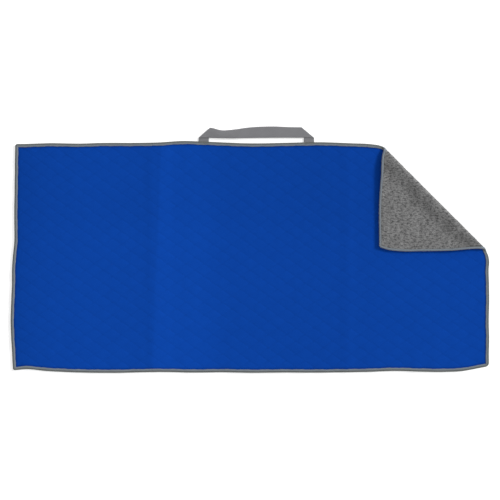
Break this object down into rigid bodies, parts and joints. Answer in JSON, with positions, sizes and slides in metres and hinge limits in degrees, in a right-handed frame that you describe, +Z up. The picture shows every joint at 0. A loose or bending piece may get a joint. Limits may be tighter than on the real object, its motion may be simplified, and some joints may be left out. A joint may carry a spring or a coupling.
{
  "type": "golf towel",
  "caption": "Flat rectangular golf towel with a quilted face cloth, a plush reverse, bound edges, a turned-over corner and a webbing carry loop on one long edge.",
  "frame": {"origin": "centre of the unfolded towel's outline, on its underside, where it lies on a flat surface", "axes": "+X along the towel towards the end with the turned corner, +Y towards the long edge that carries the loop, +Z up out of the blue face"},
  "size_m": [1.016, 0.52, 0.013],
  "materials": {
    "blue_face_cloth": "low-relief diamond quilted knit microfibre, matt",
    "grey_plush": "short tufted plush pile, matt",
    "grey_edge_tape": "folded knit binding tape, slight sheen",
    "grey_webbing": "woven flat webbing, slight sheen",
    "grey_thread": "close zigzag stitches"
  },
  "bodies": {
    "middle_third": {"face_cloth_middle": "blue_face_cloth", "plush_backing_middle": "grey_plush", "edge_binding_top": "grey_edge_tape", "edge_binding_bottom": "grey_edge_tape", "bar_tack_left": "grey_thread", "bar_tack_right": "grey_thread"},
    "left_third": {"face_cloth_left": "blue_face_cloth", "plush_backing_left": "grey_plush", "edge_binding_left": "grey_edge_tape"},
    "right_third": {"face_cloth_right": "blue_face_cloth", "plush_backing_right": "grey_plush", "edge_binding_right": "grey_edge_tape", "edge_binding_top_right": "grey_edge_tape"},
    "corner": {"face_cloth_corner": "blue_face_cloth", "plush_backing_corner": "grey_plush", "edge_binding_corner": "grey_edge_tape"},
    "handle": {"handle_strap": "grey_webbing"}
  },
  "joints": [
    {"name": "left_third_fold", "type": "hinge", "parent": "middle_third", "child": "left_third", "pos_m": [-0.208, 0, 0.0065], "axis": [0, 1, 0], "range_deg": [0, 176]},
    {"name": "right_third_fold", "type": "hinge", "parent": "middle_third", "child": "right_third", "pos_m": [0.208, 0, 0.0065], "axis": [0, -1, 0], "range_deg": [0, 160]},
    {"name": "corner_fold", "type": "hinge", "parent": "right_third", "child": "corner", "pos_m": [0.39175, 0.12725, 0.0065], "axis": [-0.7071, 0.7071, 0], "range_deg": [0, 180]},
    {"name": "handle_swing", "type": "hinge", "parent": "middle_third", "child": "handle", "pos_m": [0.014, 0.2435, 0.006], "axis": [1, 0, 0], "range_deg": [0, 180]}
  ]
}
